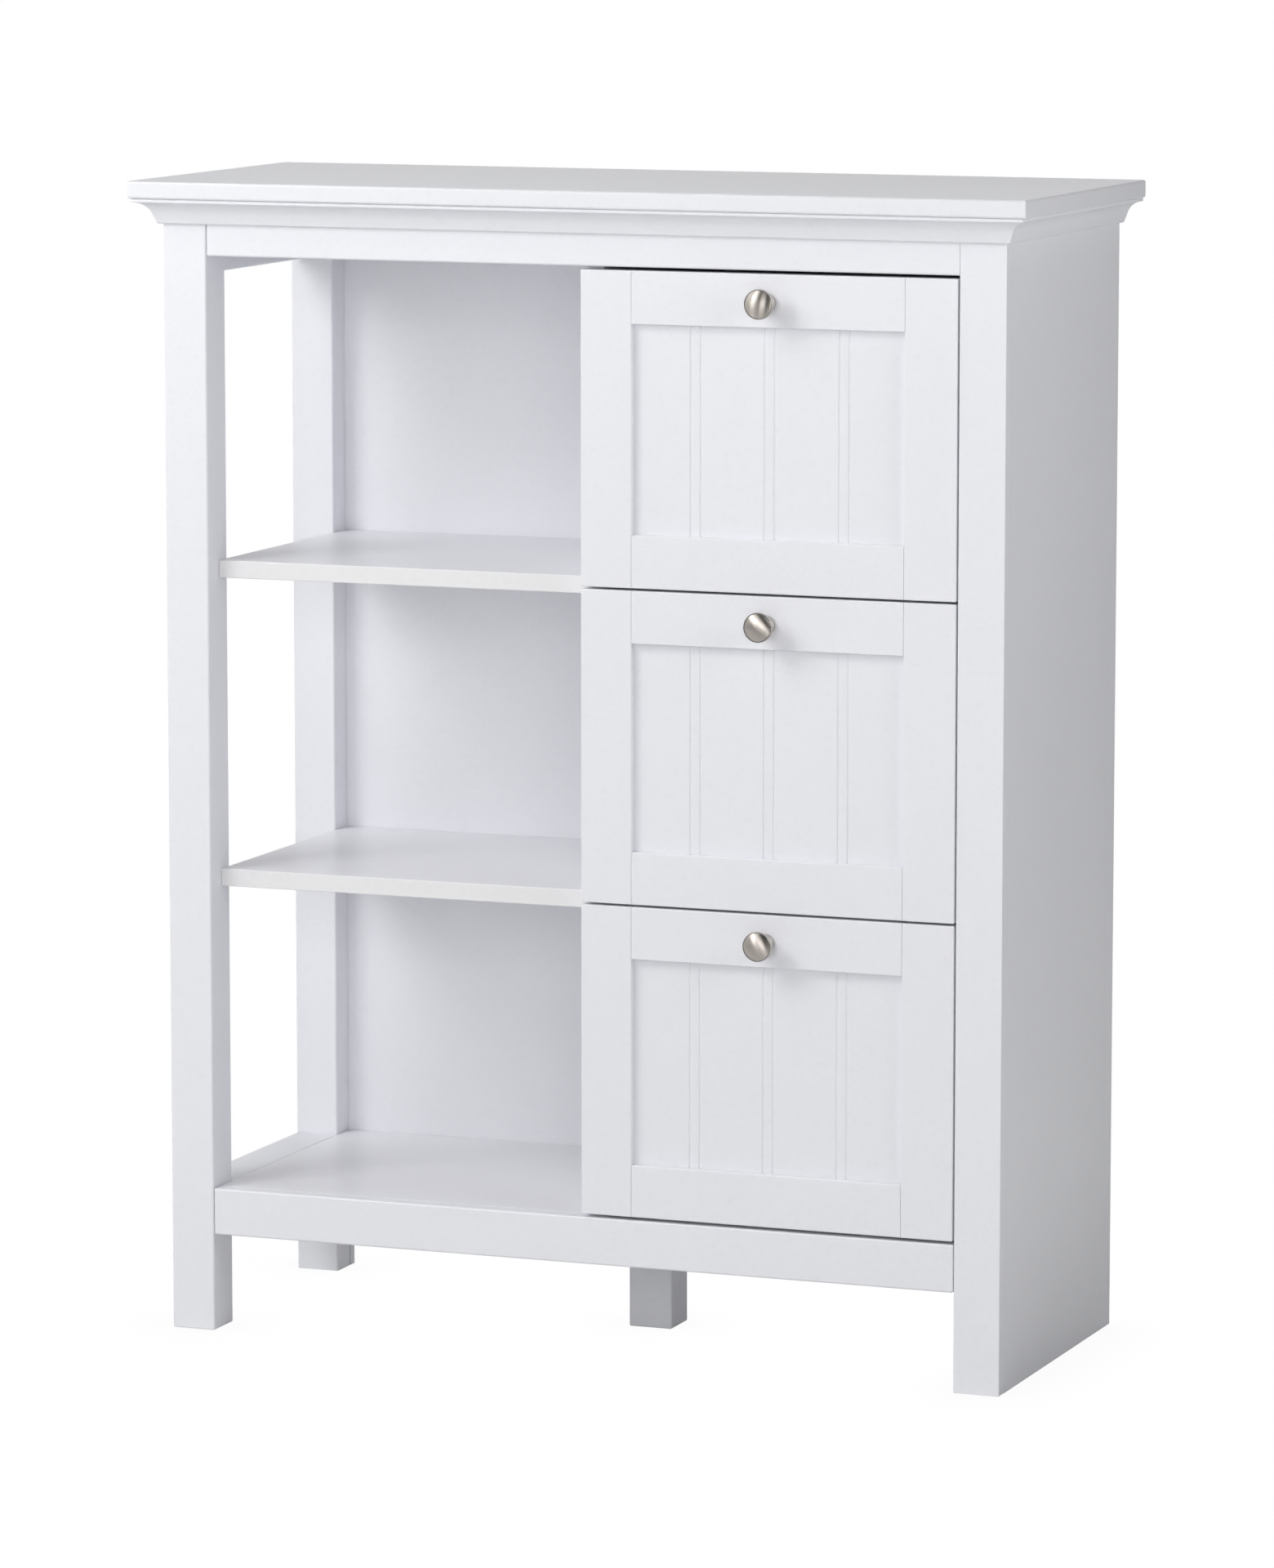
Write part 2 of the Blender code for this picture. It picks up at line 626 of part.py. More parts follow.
def screw_profile():
    """Pan-head screw from its tip in the knob to its head behind the rail."""
    tip = KNOB_BORE_DEPTH - SCREW_TIP_PLAY
    seat = -FRONT_THICKNESS - GAP
    crown = seat - SCREW_HEAD_HEIGHT
    return [
        (0.0, tip),
        (SCREW_RADIUS, tip),
        (SCREW_RADIUS, seat),
        (SCREW_HEAD_RADIUS, seat),
        (SCREW_HEAD_RADIUS, crown + SCREW_HEAD_CHAMFER),
        (SCREW_HEAD_RADIUS - SCREW_HEAD_CHAMFER, crown),
        (0.0, crown),
    ]


def make_knob(name, front_high, top_rail, materials, drawer):
    """Knob, its screw, and the screw's hole through the top rail."""
    place = (FRONT_CENTRE, 0.0, front_high - KNOB_DROP)
    turned(f"drawer_{name}_knob", knob_profile(), place, materials["knob"], drawer)
    turned(f"drawer_{name}_knob_screw", screw_profile(), place, materials["screw"], drawer)
    drill = [
        (0.0, DRILL_OVERRUN),
        (KNOB_BORE_RADIUS, DRILL_OVERRUN),
        (KNOB_BORE_RADIUS, -FRONT_THICKNESS - DRILL_OVERRUN),
        (0.0, -FRONT_THICKNESS - DRILL_OVERRUN),
    ]
    cutter = turned(f"drawer_{name}_drill", drill, place, materials["screw"], drawer)
    cut(top_rail, hide_cutter(cutter), "screw_hole")


def make_drawer(index, name, materials, cabinet):
    """One drawer on a guide that lies on its slide axis."""
    low = FRONT_LOWEST + index * FRONT_PITCH
    box_low = low + BOX_LIFT
    runner_z = box_low + RUNNER_LIFT
    make_runners(name, runner_z, materials, cabinet)
    drawer = empty(f"drawer_{name}_slide", (FRONT_CENTRE, 0.0, runner_z), cabinet)
    carrier = empty(f"drawer_{name}_carrier", (-FRONT_CENTRE, 0.0, -runner_z), drawer)
    top_rail = make_front(name, low, materials, carrier)
    make_box(name, box_low, materials, carrier)
    make_knob(name, low + FRONT_HEIGHT, top_rail, materials, carrier)


def main():
    clear_scene()
    materials = make_materials()
    cabinet = empty("cabinet", (0.0, -ORIGIN_SETBACK, 0.0))
    make_posts(materials, cabinet)
    make_right_side(materials, cabinet)
    make_rails(materials, cabinet)
    make_top(materials, cabinet)
    make_cornice(materials, cabinet)
    make_inside(materials, cabinet)
    for index, name in enumerate(DRAWER_NAMES):
        make_drawer(index, name, materials, cabinet)


main()
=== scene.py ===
"""Looks for a white country-style cabinet with three open shelf bays beside three deep drawers.

Everything is in metres in the frame's own coordinates: X to the right, -Y out of the front, Z up.
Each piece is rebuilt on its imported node's box with finer edges, rides on that node's body and takes
one of the procedural finishes. The pale floor, the studio light and the camera come last.
"""

import json
import math

import bmesh
import bpy
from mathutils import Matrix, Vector

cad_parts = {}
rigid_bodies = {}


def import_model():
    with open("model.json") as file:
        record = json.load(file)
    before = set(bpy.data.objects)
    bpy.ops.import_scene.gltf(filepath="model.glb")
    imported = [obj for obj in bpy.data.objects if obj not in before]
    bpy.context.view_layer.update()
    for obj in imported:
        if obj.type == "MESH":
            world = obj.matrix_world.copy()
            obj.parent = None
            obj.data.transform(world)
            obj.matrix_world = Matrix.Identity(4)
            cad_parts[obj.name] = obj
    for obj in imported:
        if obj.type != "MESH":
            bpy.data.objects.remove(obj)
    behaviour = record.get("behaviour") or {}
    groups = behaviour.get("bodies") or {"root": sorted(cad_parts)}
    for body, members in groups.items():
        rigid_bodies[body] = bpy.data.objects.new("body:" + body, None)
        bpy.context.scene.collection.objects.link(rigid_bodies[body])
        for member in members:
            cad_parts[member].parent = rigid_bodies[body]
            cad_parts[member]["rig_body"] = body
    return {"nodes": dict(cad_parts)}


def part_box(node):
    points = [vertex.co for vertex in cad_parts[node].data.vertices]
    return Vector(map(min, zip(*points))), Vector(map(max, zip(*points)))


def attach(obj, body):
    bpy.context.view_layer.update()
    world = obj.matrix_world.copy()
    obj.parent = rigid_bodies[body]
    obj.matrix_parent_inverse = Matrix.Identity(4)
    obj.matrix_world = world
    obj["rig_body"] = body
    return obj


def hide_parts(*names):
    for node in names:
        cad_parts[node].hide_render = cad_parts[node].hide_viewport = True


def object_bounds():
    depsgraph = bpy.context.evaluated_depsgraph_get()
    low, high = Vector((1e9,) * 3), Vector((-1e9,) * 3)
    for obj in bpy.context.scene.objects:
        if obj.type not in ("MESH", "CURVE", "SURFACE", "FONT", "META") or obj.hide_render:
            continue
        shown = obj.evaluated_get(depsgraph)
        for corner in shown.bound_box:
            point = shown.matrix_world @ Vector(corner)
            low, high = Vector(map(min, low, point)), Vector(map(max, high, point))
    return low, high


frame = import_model()
CAD_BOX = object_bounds()

# Edges, in metres
GAP = 0.0003
TIGHT_GAP = 0.0001
SOFT_EDGE = 0.0022
TOP_EDGE = 0.0028
STILE_EDGE = 0.0012
FRONT_EDGE = 0.0015
INNER_EDGE = 0.0009
SEAM_EDGE = 0.0004
RAIL_END = 0.0002
CORE_EDGE = 0.0001
SEAM_GAP = 0.0006
BOARD_EDGE = 0.0007
BAND_EDGE = 0.0011
WOOD_EDGE = 0.0010
END_SHARE = 0.8
ARC_STEPS = 6
END_STEPS = 4
SHARP_ANGLE = 50
MERGE = 1e-6

# Cornice
FILLET = 0.0037
COVE_RADIUS = 0.017
COVE_SWEEP = 70
COVE_STEPS = 16
COVE_FOOT = 0.0042
NOSE_TOP_EDGE = 0.0017
NOSE_EDGE = 0.0009
CORNICE_FOOT_EDGE = 0.0028

# Drawer panels: pairs of narrow grooves
BEAD_SPACING = 0.078
BEAD_HALF_GAP = 0.00525
BEAD_HALF_WIDTH = 0.00115
BEAD_DEPTH = 0.0014
BEAD_LIP = 0.0005

# Shelves
BAND_THICKNESS = 0.0012

# Drawer boxes
SLOT_DEPTH = 0.0063
RUNNER_SLOT_DEPTH = 0.0085
RUNNER_PLAY = 0.001

# Knobs
KNOB_STEPS = 72
KNOB_BASE = 0.0095
KNOB_NECK = 0.0055
KNOB_FLANGE = 0.002
KNOB_SHOULDER = 0.0225
KNOB_LIP = 0.0016
KNOB_FACE_RADIUS = 0.0138
KNOB_FACE = 0.0256
KNOB_GROOVE = 0.0008
KNOB_FLARE_POWER = 3
KNOB_HEAD_POWER = 6
DOME_STEPS = 16
FLARE_STEPS = 12
SHOULDER_STEPS = 8
BRUSH_ANGLES = {"top": -10.0, "middle": 45.0, "bottom": 26.0}

DRAWERS = ("bottom", "middle", "top")


# ---------------------------------------------------------------- shapes


def fillet(before, corner, after, radius):
    """Points of the arc that rounds a corner between its two neighbours."""
    to_before = (before - corner).normalized()
    to_after = (after - corner).normalized()
    opening = math.acos(max(-1.0, min(1.0, to_before.dot(to_after))))
    reach = radius / math.tan(opening / 2)
    centre = corner + (to_before + to_after).normalized() * (radius / math.sin(opening / 2))
    first = corner + to_before * reach - centre
    last = corner + to_after * reach - centre
    sweep = math.pi - opening
    points = []
    for step in range(ARC_STEPS + 1):
        t = step / ARC_STEPS
        arm = first * math.sin((1 - t) * sweep) + last * math.sin(t * sweep)
        points.append(centre + arm / math.sin(sweep))
    return points


def rounded(corners):
    """An outline whose (u, v, radius) corners become arcs; a corner (u, v) stays sharp."""
    places = [Vector(corner[:2]) for corner in corners]
    points = []
    for i, corner in enumerate(corners):
        if len(corner) == 3 and corner[2] > 0:
            after = places[(i + 1) % len(places)]
            points += fillet(places[i - 1], places[i], after, corner[2])
        else:
            points.append(places[i])
    return points


def rectangle(u, v, radius):
    """Corners of a rectangle over the ranges u and v, all with one radius."""
    return [
        (u[0], v[0], radius),
        (u[1], v[0], radius),
        (u[1], v[1], radius),
        (u[0], v[1], radius),
    ]


def inset(points, distance):
    """The closed outline moved inwards by a distance."""
    area = 0.0
    for a, b in zip(points, points[1:] + points[:1]):
        area += a.x * b.y - b.x * a.y
    turn = 1.0 if area > 0 else -1.0
    moved = []
    for i, point in enumerate(points):
        along = (point - points[i - 1]).normalized()
        onward = (points[(i + 1) % len(points)] - point).normalized()
        normal = Vector((-along.y, along.x)) * turn
        next_normal = Vector((-onward.y, onward.x)) * turn
        mitre = (normal + next_normal) / (1.0 + normal.dot(next_normal))
        moved.append(point + mitre * distance)
    return moved


def end_rings(points, low, high, radii, steady):
    """(outline, position) rings along a bar, its ends rounded; steady points keep their u."""
    rings = []
    for end, inward, radius in ((low, 1.0, radii[0]), (high, -1.0, radii[1])):
        made = []
        for step in range(END_STEPS + 1):
            angle = math.pi / 2 * step / END_STEPS
            ring = inset(points, radius * (1 - math.sin(angle)))
            for i, point in enumerate(points):
                if steady(point.x, point.y):
                    ring[i] = Vector((point.x, ring[i].y))
            made.append((ring, end + inward * radius * (1 - math.cos(angle))))
        rings += made if inward > 0 else reversed(made)
    return rings


def never(u, v):
    """No point of an outline is steady."""
    return False


def bar(outline, axis, low, high, radii=None, steady=never):
    """A bmesh of an outline run along an axis from low to high; radii round its two ends."""
    order = {"X": (2, 0, 1), "Y": (0, 2, 1), "Z": (0, 1, 2)}[axis]
    points = rounded(outline)
    if radii:
        rings = end_rings(points, low, high, radii, steady)
    else:
        rings = [(points, low), (points, high)]
    bm = bmesh.new()
    made = []
    for ring, position in rings:
        row = []
        for point in ring:
            local = (point.x, point.y, position)
            row.append(bm.verts.new([local[i] for i in order]))
        made.append(row)
    count = len(points)
    for first, second in zip(made, made[1:]):
        for i in range(count):
            j = (i + 1) % count
            bm.faces.new((first[i], first[j], second[j], second[i]))
    bm.faces.new(made[0])
    bm.faces.new(made[-1])
    return bm


def turned(profile, centre, steps):
    """A bmesh of a (radius, distance) profile turned about an axis along Y; distance runs to -Y."""
    bm = bmesh.new()
    verts = [bm.verts.new((centre.x + r, centre.y - d, centre.z)) for r, d in profile]
    edges = [bm.edges.new(pair) for pair in zip(verts, verts[1:])]
    bmesh.ops.spin(
        bm,
        geom=verts + edges,
        cent=centre,
        axis=(0.0, 1.0, 0.0),
        angle=2 * math.pi,
        steps=steps,
        use_merge=True,
    )
    return bm


def add_piece(name, bm, finish, node, material=None, replaces=True):
    """A finished piece that rides with a node's body, on one of the record's finish slots."""
    bmesh.ops.remove_doubles(bm, verts=bm.verts, dist=MERGE)
    bmesh.ops.recalc_face_normals(bm, faces=bm.faces)
    mesh = bpy.data.meshes.new(name)
    bm.to_mesh(mesh)
    bm.free()
    mesh.shade_smooth()
    mesh.set_sharp_from_angle(angle=math.radians(SHARP_ANGLE))
    mesh.materials.append(material or FINISHES[finish])
    piece = bpy.data.objects.new(name, mesh)
    bpy.context.scene.collection.objects.link(piece)
    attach(piece, frame["nodes"][node]["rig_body"])
    if replaces:
        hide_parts(node)
    return piece


def add_board(name, bm, finish, node, material=None, replaces=True):
    """A piece whose wide faces shade flat between its rounded edges."""
    piece = add_piece(name, bm, finish, node, material, replaces)
    weighted = piece.modifiers.new("flat_faces", "WEIGHTED_NORMAL")
    weighted.keep_sharp = True


def slab(node, finish, radius, part=None, radii=None):
    """A board on a node's box, or on part of it, with rounded edges and ends."""
    low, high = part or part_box(node)
    size = high - low
    axis = max(range(3), key=lambda i: size[i])
    u, v = [i for i in range(3) if i != axis]
    outline = rectangle((low[u], high[u]), (low[v], high[v]), radius)
    ends = radii or (radius * END_SHARE, radius * END_SHARE)
    bm = bar(outline, "XYZ"[axis], low[axis], high[axis], ends)
    add_board(f"{node}_finished", bm, finish, node)


# ---------------------------------------------------------------- finishes


# Colours
LACQUER_WHITE = (0.885, 0.891, 0.929)
SHELF_WHITE = (0.89, 0.889, 0.92)
BAND_WHITE = (0.875, 0.873, 0.882)
FOIL_WHITE = (0.82, 0.82, 0.81)
BEECH_PALE = (0.72, 0.52, 0.33)
BEECH_MID = (0.60, 0.40, 0.23)
BEECH_DARK = (0.36, 0.20, 0.10)
BRUSHED_NICKEL = (0.66, 0.61, 0.56)
POLISHED_NICKEL = (0.56, 0.53, 0.50)
ZINC_DARK = (0.50, 0.51, 0.54)
ZINC_PALE = (0.72, 0.73, 0.76)

# Most of a noise's values lie in this span
NOISE_SPAN = (0.3, 0.7)

# Lacquer: scales of its noises, how far they darken it, and the orange peel's depth
DRIFT_SCALE = 3.1
DRIFT_TONE = 0.985
FLECK_SCALE = 160.0
FLECK_TONE = 0.98
FLECK_SPAN = (0.25, 0.5)
SHEEN_SCALE = 38.0
PEEL_SCALE = 520.0
PEEL_DEPTH = 0.0003

# Foil
FOIL_GRAIN = (18.0, 420.0, 420.0)
FOIL_SPAN = (0.2, 0.55)
FOIL_TONE = 0.97
FOIL_SHEEN_SCALE = 22.0
FOIL_ROUGHNESS = (0.40, 0.45)
FOIL_BUMP = 0.06
GRAIN_DEPTH = 0.0002

# Beech
BEECH_BANDS = (60.0, 3.0, 60.0)
BEECH_GRAIN = (900.0, 14.0, 900.0)
BEECH_FLECKS = (1500.0, 160.0, 1500.0)
STREAK_SPAN = (0.35, 0.75)
DARK_FLECK_SPAN = (0.58, 0.68)
BEECH_ROUGHNESS = (0.42, 0.60)
BEECH_BUMP = 0.25

# Metals
BRUSH_LINES = (110.0, 110.0, 5200.0)
BRUSH_STRENGTH = 0.95
BRUSHED_TONE = 0.9
BRUSHED_ROUGHNESS = (0.35, 0.42)
BRUSHED_BUMP = 0.08
LATHE_RINGS = (60.0, 1400.0, 60.0)
POLISHED_TONE = 0.94
POLISHED_ROUGHNESS = (0.13, 0.18)
POLISHED_BUMP = 0.04
SCRATCH_DEPTH = 0.00002
ZINC_SCALE = 900.0
ZINC_ROUGHNESS = (0.26, 0.42)
ZINC_BUMP = 0.08
ZINC_DEPTH = 0.0001


def new_material(name):
    """A node material with its nodes, links and shader."""
    material = bpy.data.materials.new(name)
    material.use_nodes = True
    nodes = material.node_tree.nodes
    return material, nodes, material.node_tree.links, nodes["Principled BSDF"]


def object_place(nodes):
    """The object's own coordinates."""
    return nodes.new("ShaderNodeTexCoord").outputs["Object"]


def noise(nodes, links, vector, scale=1.0, detail=2.0, roughness=0.5):
    """A noise over some coordinates."""
    node = nodes.new("ShaderNodeTexNoise")
    node.inputs["Scale"].default_value = scale
    node.inputs["Detail"].default_value = detail
    node.inputs["Roughness"].default_value = roughness
    links.new(vector, node.inputs["Vector"])
    return node.outputs["Fac"]


def stretched(nodes, links, vector, scale, rotation=(0.0, 0.0, 0.0)):
    """Coordinates turned and then scaled per axis."""
    turn = nodes.new("ShaderNodeMapping")
    turn.vector_type = "POINT"
    turn.inputs["Rotation"].default_value = rotation
    links.new(vector, turn.inputs["Vector"])
    stretch = nodes.new("ShaderNodeMapping")
    stretch.inputs["Scale"].default_value = scale
    links.new(turn.outputs["Vector"], stretch.inputs["Vector"])
    return stretch.outputs["Vector"]


def remap(nodes, links, value, low, high, source=NOISE_SPAN):
    """A value taken from the source range to low..high."""
    node = nodes.new("ShaderNodeMapRange")
    node.inputs["From Min"].default_value = source[0]
    node.inputs["From Max"].default_value = source[1]
    node.inputs["To Min"].default_value = low
    node.inputs["To Max"].default_value = high
    links.new(value, node.inputs["Value"])
    return node.outputs["Result"]


def blended(nodes, links, factor, first, second):
    """A colour between two colours or sockets."""
    mix = nodes.new("ShaderNodeMix")
    mix.data_type = "RGBA"
    links.new(factor, mix.inputs["Factor"])
    for socket, colour in (("A", first), ("B", second)):
        target = [i for i in mix.inputs if i.name == socket and i.type == "RGBA"][0]
        if isinstance(colour, bpy.types.NodeSocket):
            links.new(colour, target)
        else:
            target.default_value = (*colour, 1.0)
    return [o for o in mix.outputs if o.type == "RGBA"][0]


def bumped(nodes, links, shader, height, strength, distance):
    """Fine relief on a shader."""
    bump = nodes.new("ShaderNodeBump")
    bump.inputs["Strength"].default_value = strength
    bump.inputs["Distance"].default_value = distance
    links.new(height, bump.inputs["Height"])
    links.new(bump.outputs["Normal"], shader.inputs["Normal"])


def tinted(colour, factor):
    """A colour darkened by a factor."""
    return tuple(channel * factor for channel in colour)


def painted(name, colour, roughness, spread, peel):
    """Sprayed lacquer: faint orange peel, uneven gloss and a slight drift of tone."""
    material, nodes, links, shader = new_material(name)
    place = object_place(nodes)
    drift = remap(nodes, links, noise(nodes, links, place, DRIFT_SCALE, detail=3.0), 0.0, 1.0)
    fleck = noise(nodes, links, place, FLECK_SCALE, detail=4.0, roughness=0.65)
    soft = blended(nodes, links, drift, tinted(colour, DRIFT_TONE), colour)
    speck = remap(nodes, links, fleck, 0.0, 1.0, FLECK_SPAN)
    dark = tinted(colour, DRIFT_TONE * FLECK_TONE)
    links.new(blended(nodes, links, speck, dark, soft), shader.inputs["Base Color"])
    uneven = noise(nodes, links, place, SHEEN_SCALE, detail=3.0)
    gloss = remap(nodes, links, uneven, roughness - spread, roughness + spread)
    links.new(gloss, shader.inputs["Roughness"])
    bumped(nodes, links, shader, noise(nodes, links, place, PEEL_SCALE), peel, PEEL_DEPTH)
    return material


def foil(name):
    """Printed foil on particle board: smooth, with a fine pressed grain along X."""
    material, nodes, links, shader = new_material(name)
    place = object_place(nodes)
    grain = noise(nodes, links, stretched(nodes, links, place, FOIL_GRAIN), detail=3.0, roughness=0.6)
    tone = remap(nodes, links, grain, 0.0, 1.0, FOIL_SPAN)
    colour = blended(nodes, links, tone, tinted(FOIL_WHITE, FOIL_TONE), FOIL_WHITE)
    links.new(colour, shader.inputs["Base Color"])
    uneven = noise(nodes, links, place, FOIL_SHEEN_SCALE, detail=3.0)
    links.new(remap(nodes, links, uneven, *FOIL_ROUGHNESS), shader.inputs["Roughness"])
    bumped(nodes, links, shader, grain, FOIL_BUMP, GRAIN_DEPTH)
    return material


def beech(name):
    """Planed beech: fine straight grain with short dark flecks, running along Y."""
    material, nodes, links, shader = new_material(name)
    place = object_place(nodes)
    wavy = noise(nodes, links, stretched(nodes, links, place, BEECH_BANDS), detail=3.0)
    grain = noise(nodes, links, stretched(nodes, links, place, BEECH_GRAIN), detail=4.0, roughness=0.6)
    fleck = noise(nodes, links, stretched(nodes, links, place, BEECH_FLECKS), detail=1.0)
    wood = blended(nodes, links, remap(nodes, links, wavy, 0.0, 1.0), BEECH_PALE, BEECH_MID)
    streak = remap(nodes, links, grain, 0.0, 1.0, STREAK_SPAN)
    wood = blended(nodes, links, streak, wood, BEECH_MID)
    plain = remap(nodes, links, fleck, 1.0, 0.0, DARK_FLECK_SPAN)
    links.new(blended(nodes, links, plain, BEECH_DARK, wood), shader.inputs["Base Color"])
    links.new(remap(nodes, links, grain, *BEECH_ROUGHNESS), shader.inputs["Roughness"])
    bumped(nodes, links, shader, grain, BEECH_BUMP, GRAIN_DEPTH)
    return material


def metal(name, colour, dark, pattern, roughness, bump, depth):
    """A metal whose colour, gloss and relief follow a pattern, made from the object's coordinates."""
    material, nodes, links, shader = new_material(name)
    shader.inputs["Metallic"].default_value = 1.0
    relief = pattern(nodes, links, object_place(nodes))
    tone = remap(nodes, links, relief, 0.0, 1.0)
    links.new(blended(nodes, links, tone, dark, colour), shader.inputs["Base Color"])
    links.new(remap(nodes, links, relief, *roughness), shader.inputs["Roughness"])
    bumped(nodes, links, shader, relief, bump, depth)
    return material, nodes, links, shader


def brushed(name, angle):
    """Nickel brushed in straight lines, at an angle above X in the plane of the drawer front."""

    def lines(nodes, links, place):
        turn = (0.0, math.radians(angle), 0.0)
        return noise(nodes, links, stretched(nodes, links, place, BRUSH_LINES, turn))

    dark = tinted(BRUSHED_NICKEL, BRUSHED_TONE)
    material, nodes, links, shader = metal(
        name, BRUSHED_NICKEL, dark, lines, BRUSHED_ROUGHNESS, BRUSHED_BUMP, SCRATCH_DEPTH
    )
    shader.inputs["Anisotropic"].default_value = BRUSH_STRENGTH
    across = nodes.new("ShaderNodeCombineXYZ")
    across.inputs["X"].default_value = -math.sin(math.radians(angle))
    across.inputs["Z"].default_value = math.cos(math.radians(angle))
    links.new(across.outputs["Vector"], shader.inputs["Tangent"])
    return material


def polished(name):
    """Nickel polished on the lathe, with faint rings of wear in its gloss."""

    def rings(nodes, links, place):
        return noise(nodes, links, stretched(nodes, links, place, LATHE_RINGS))

    dark = tinted(POLISHED_NICKEL, POLISHED_TONE)
    return metal(
        name, POLISHED_NICKEL, dark, rings, POLISHED_ROUGHNESS, POLISHED_BUMP, SCRATCH_DEPTH
    )[0]


def zinc(name):
    """Bright zinc plating with a faint crystalline mottle."""

    def mottle(nodes, links, place):
        return noise(nodes, links, place, ZINC_SCALE, detail=3.0)

    return metal(name, ZINC_PALE, ZINC_DARK, mottle, ZINC_ROUGHNESS, ZINC_BUMP, ZINC_DEPTH)[0]


FINISHES = {
    "white_lacquer": painted("satin_lacquer", LACQUER_WHITE, roughness=0.36, spread=0.035, peel=0.04),
    "drawer_front_lacquer": painted(
        "drawer_front_satin", LACQUER_WHITE, roughness=0.36, spread=0.035, peel=0.04
    ),
    "shelf_board": painted("shelf_satin", SHELF_WHITE, roughness=0.3, spread=0.015, peel=0.01),
    "back_board": painted("back_board_paint", LACQUER_WHITE, roughness=0.45, spread=0.04, peel=0.06),
    "drawer_box_board": foil("drawer_box_foil"),
    "runner_beech": beech("waxed_beech"),
    "screw_zinc": zinc("zinc_plate"),
}
EDGE_BAND = painted("shelf_edge_band", BAND_WHITE, roughness=0.38, spread=0.02, peel=0.02)
POLISHED = polished("polished_nickel")
KNOB_FINISHES = {name: brushed(f"brushed_nickel_{name}", angle) for name, angle in BRUSH_ANGLES.items()}


# ---------------------------------------------------------------- carcass


def make_frame():
    """Posts, stile, side panel and rails."""
    slab("post_front_left", "white_lacquer", SOFT_EDGE)
    make_stile()
    low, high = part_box("front_top_rail")
    low.x += SEAM_GAP
    high.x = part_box("stile_front_right")[0].x - TIGHT_GAP
    ends = (SOFT_EDGE * END_SHARE, RAIL_END)
    slab("front_top_rail", "white_lacquer", SOFT_EDGE, (low, high), ends)
    low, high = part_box("front_bottom_rail")
    low.x += SEAM_GAP
    high.x -= SEAM_GAP
    slab("front_bottom_rail", "white_lacquer", SOFT_EDGE, (low, high))
    slab("side_rail_top_left", "white_lacquer", SOFT_EDGE)
    slab("side_rail_bottom_left", "white_lacquer", FRONT_EDGE)
    slab("rear_bottom_rail", "white_lacquer", BOARD_EDGE)
    slab("centre_foot", "white_lacquer", SOFT_EDGE)
    make_rear_post()
    make_side_panel()


def back_groove():
    """Front, rear of the groove that holds the back board, and its left and right bottoms."""
    low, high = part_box("back_panel")
    return low.y - GAP, high.y + GAP, low.x - BAND_THICKNESS, high.x + BAND_THICKNESS


def make_stile():
    """The right stile, sharp where it meets the side panel."""
    low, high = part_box("stile_front_right")
    outline = [
        (low.x, low.y, STILE_EDGE),
        (high.x, low.y, STILE_EDGE),
        (high.x, high.y),
        (low.x, high.y),
    ]
    end = STILE_EDGE * END_SHARE
    bm = bar(outline, "Z", low.z, high.z, (end, end))
    add_board("stile_front_right_finished", bm, "white_lacquer", "stile_front_right")


def make_rear_post():
    low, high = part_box("post_rear_left")
    front, rear, bottom, _ = back_groove()
    outline = [
        (low.x, low.y, SOFT_EDGE),
        (high.x, low.y, SOFT_EDGE),
        (high.x, front, SEAM_EDGE),
        (bottom, front),
        (bottom, rear),
        (high.x, rear, SEAM_EDGE),
        (high.x, high.y, SOFT_EDGE),
        (low.x, high.y, SOFT_EDGE),
    ]
    bm = bar(outline, "Z", low.z, high.z, (SEAM_EDGE, SEAM_EDGE))
    add_board("post_rear_left_finished", bm, "white_lacquer", "post_rear_left")


def make_side_panel():
    low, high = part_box("side_panel_right")
    front, rear, _, bottom = back_groove()
    outline = [
        (low.x, low.y),
        (high.x, low.y),
        (high.x, high.y, STILE_EDGE),
        (low.x, high.y, BOARD_EDGE),
        (low.x, rear, SEAM_EDGE),
        (bottom, rear),
        (bottom, front),
        (low.x, front, SEAM_EDGE),
    ]
    bm = bar(outline, "Z", low.z, high.z, (SEAM_EDGE, SEAM_EDGE))
    add_board("side_panel_right_finished", bm, "white_lacquer", "side_panel_right")


def cornice_profile(reach, low, high):
    """(projection, height) points of the cove moulding, from the frame's face outwards."""
    centre = high - FILLET - COVE_RADIUS
    corners = [(GAP, high), (reach, high, NOSE_TOP_EDGE), (reach, high - FILLET, NOSE_EDGE)]
    for step in range(1, COVE_STEPS + 1):
        angle = math.pi / 2 + math.radians(COVE_SWEEP) * step / COVE_STEPS
        projection = reach + COVE_RADIUS * math.cos(angle)
        corners.append((projection, centre + COVE_RADIUS * math.sin(angle)))
    corners.append((COVE_FOOT, low, CORNICE_FOOT_EDGE))
    corners.append((GAP, low))
    return [(point.x, point.y) for point in rounded(corners)]


def moulding(node, profile, start, end):
    """A moulding lofted between two ends, each a function of projection and height."""
    bm = bmesh.new()
    first = [bm.verts.new(start(*point)) for point in profile]
    last = [bm.verts.new(end(*point)) for point in profile]
    count = len(profile)
    for i in range(count):
        j = (i + 1) % count
        bm.faces.new((first[i], first[j], last[j], last[i]))
    bm.faces.new(first)
    bm.faces.new(last)
    add_board(f"{node}_finished", bm, "white_lacquer", node)


